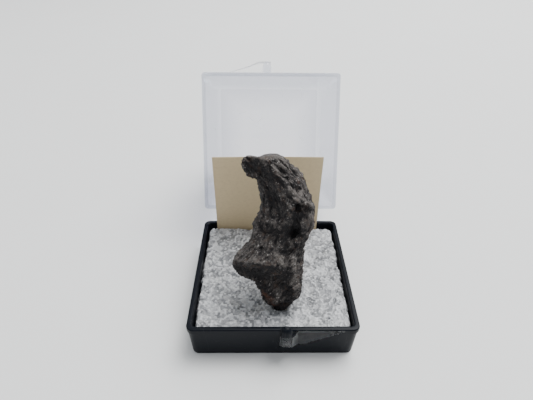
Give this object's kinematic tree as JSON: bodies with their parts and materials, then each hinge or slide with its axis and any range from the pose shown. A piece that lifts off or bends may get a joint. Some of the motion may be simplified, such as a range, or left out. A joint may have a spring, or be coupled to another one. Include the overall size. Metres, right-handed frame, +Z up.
{
  "type": "meteorite in a hinged specimen box",
  "caption": "Curved iron meteorite standing on its foot in the foam of a small black tray, with a paper card behind it and a clear hinged lid lying open.",
  "frame": {"origin": "middle of the tray's flat underside", "axes": "+X to the right of the box as its front is seen, +Y to the back, where the lid lies open, +Z up"},
  "size_m": [0.054, 0.124, 0.0706],
  "materials": {
    "black_plastic": "moulded black polystyrene, satin to glossy",
    "foam": "translucent white foam sheet of small pebbly cells",
    "iron": "weathered dark brown iron, pitted, with rust and small metallic glints",
    "card": "plain tan card, matte",
    "film": "thin clear film, wrinkled and torn",
    "clear_plastic": "clear polystyrene, lightly scratched"
  },
  "bodies": {
    "tray": {"tray": "black_plastic", "foam_bed": "foam", "meteorite": "iron", "card": "card", "tape_on_tray": "film"},
    "lid": {"lid": "clear_plastic", "tape_on_lid": "film"}
  },
  "joints": [
    {"name": "lid_hinge", "type": "hinge", "parent": "tray", "child": "lid", "pos_m": [0, 0.02958, 0.01438], "axis": [1, 0, 0], "range_deg": [0, 113.75]}
  ]
}
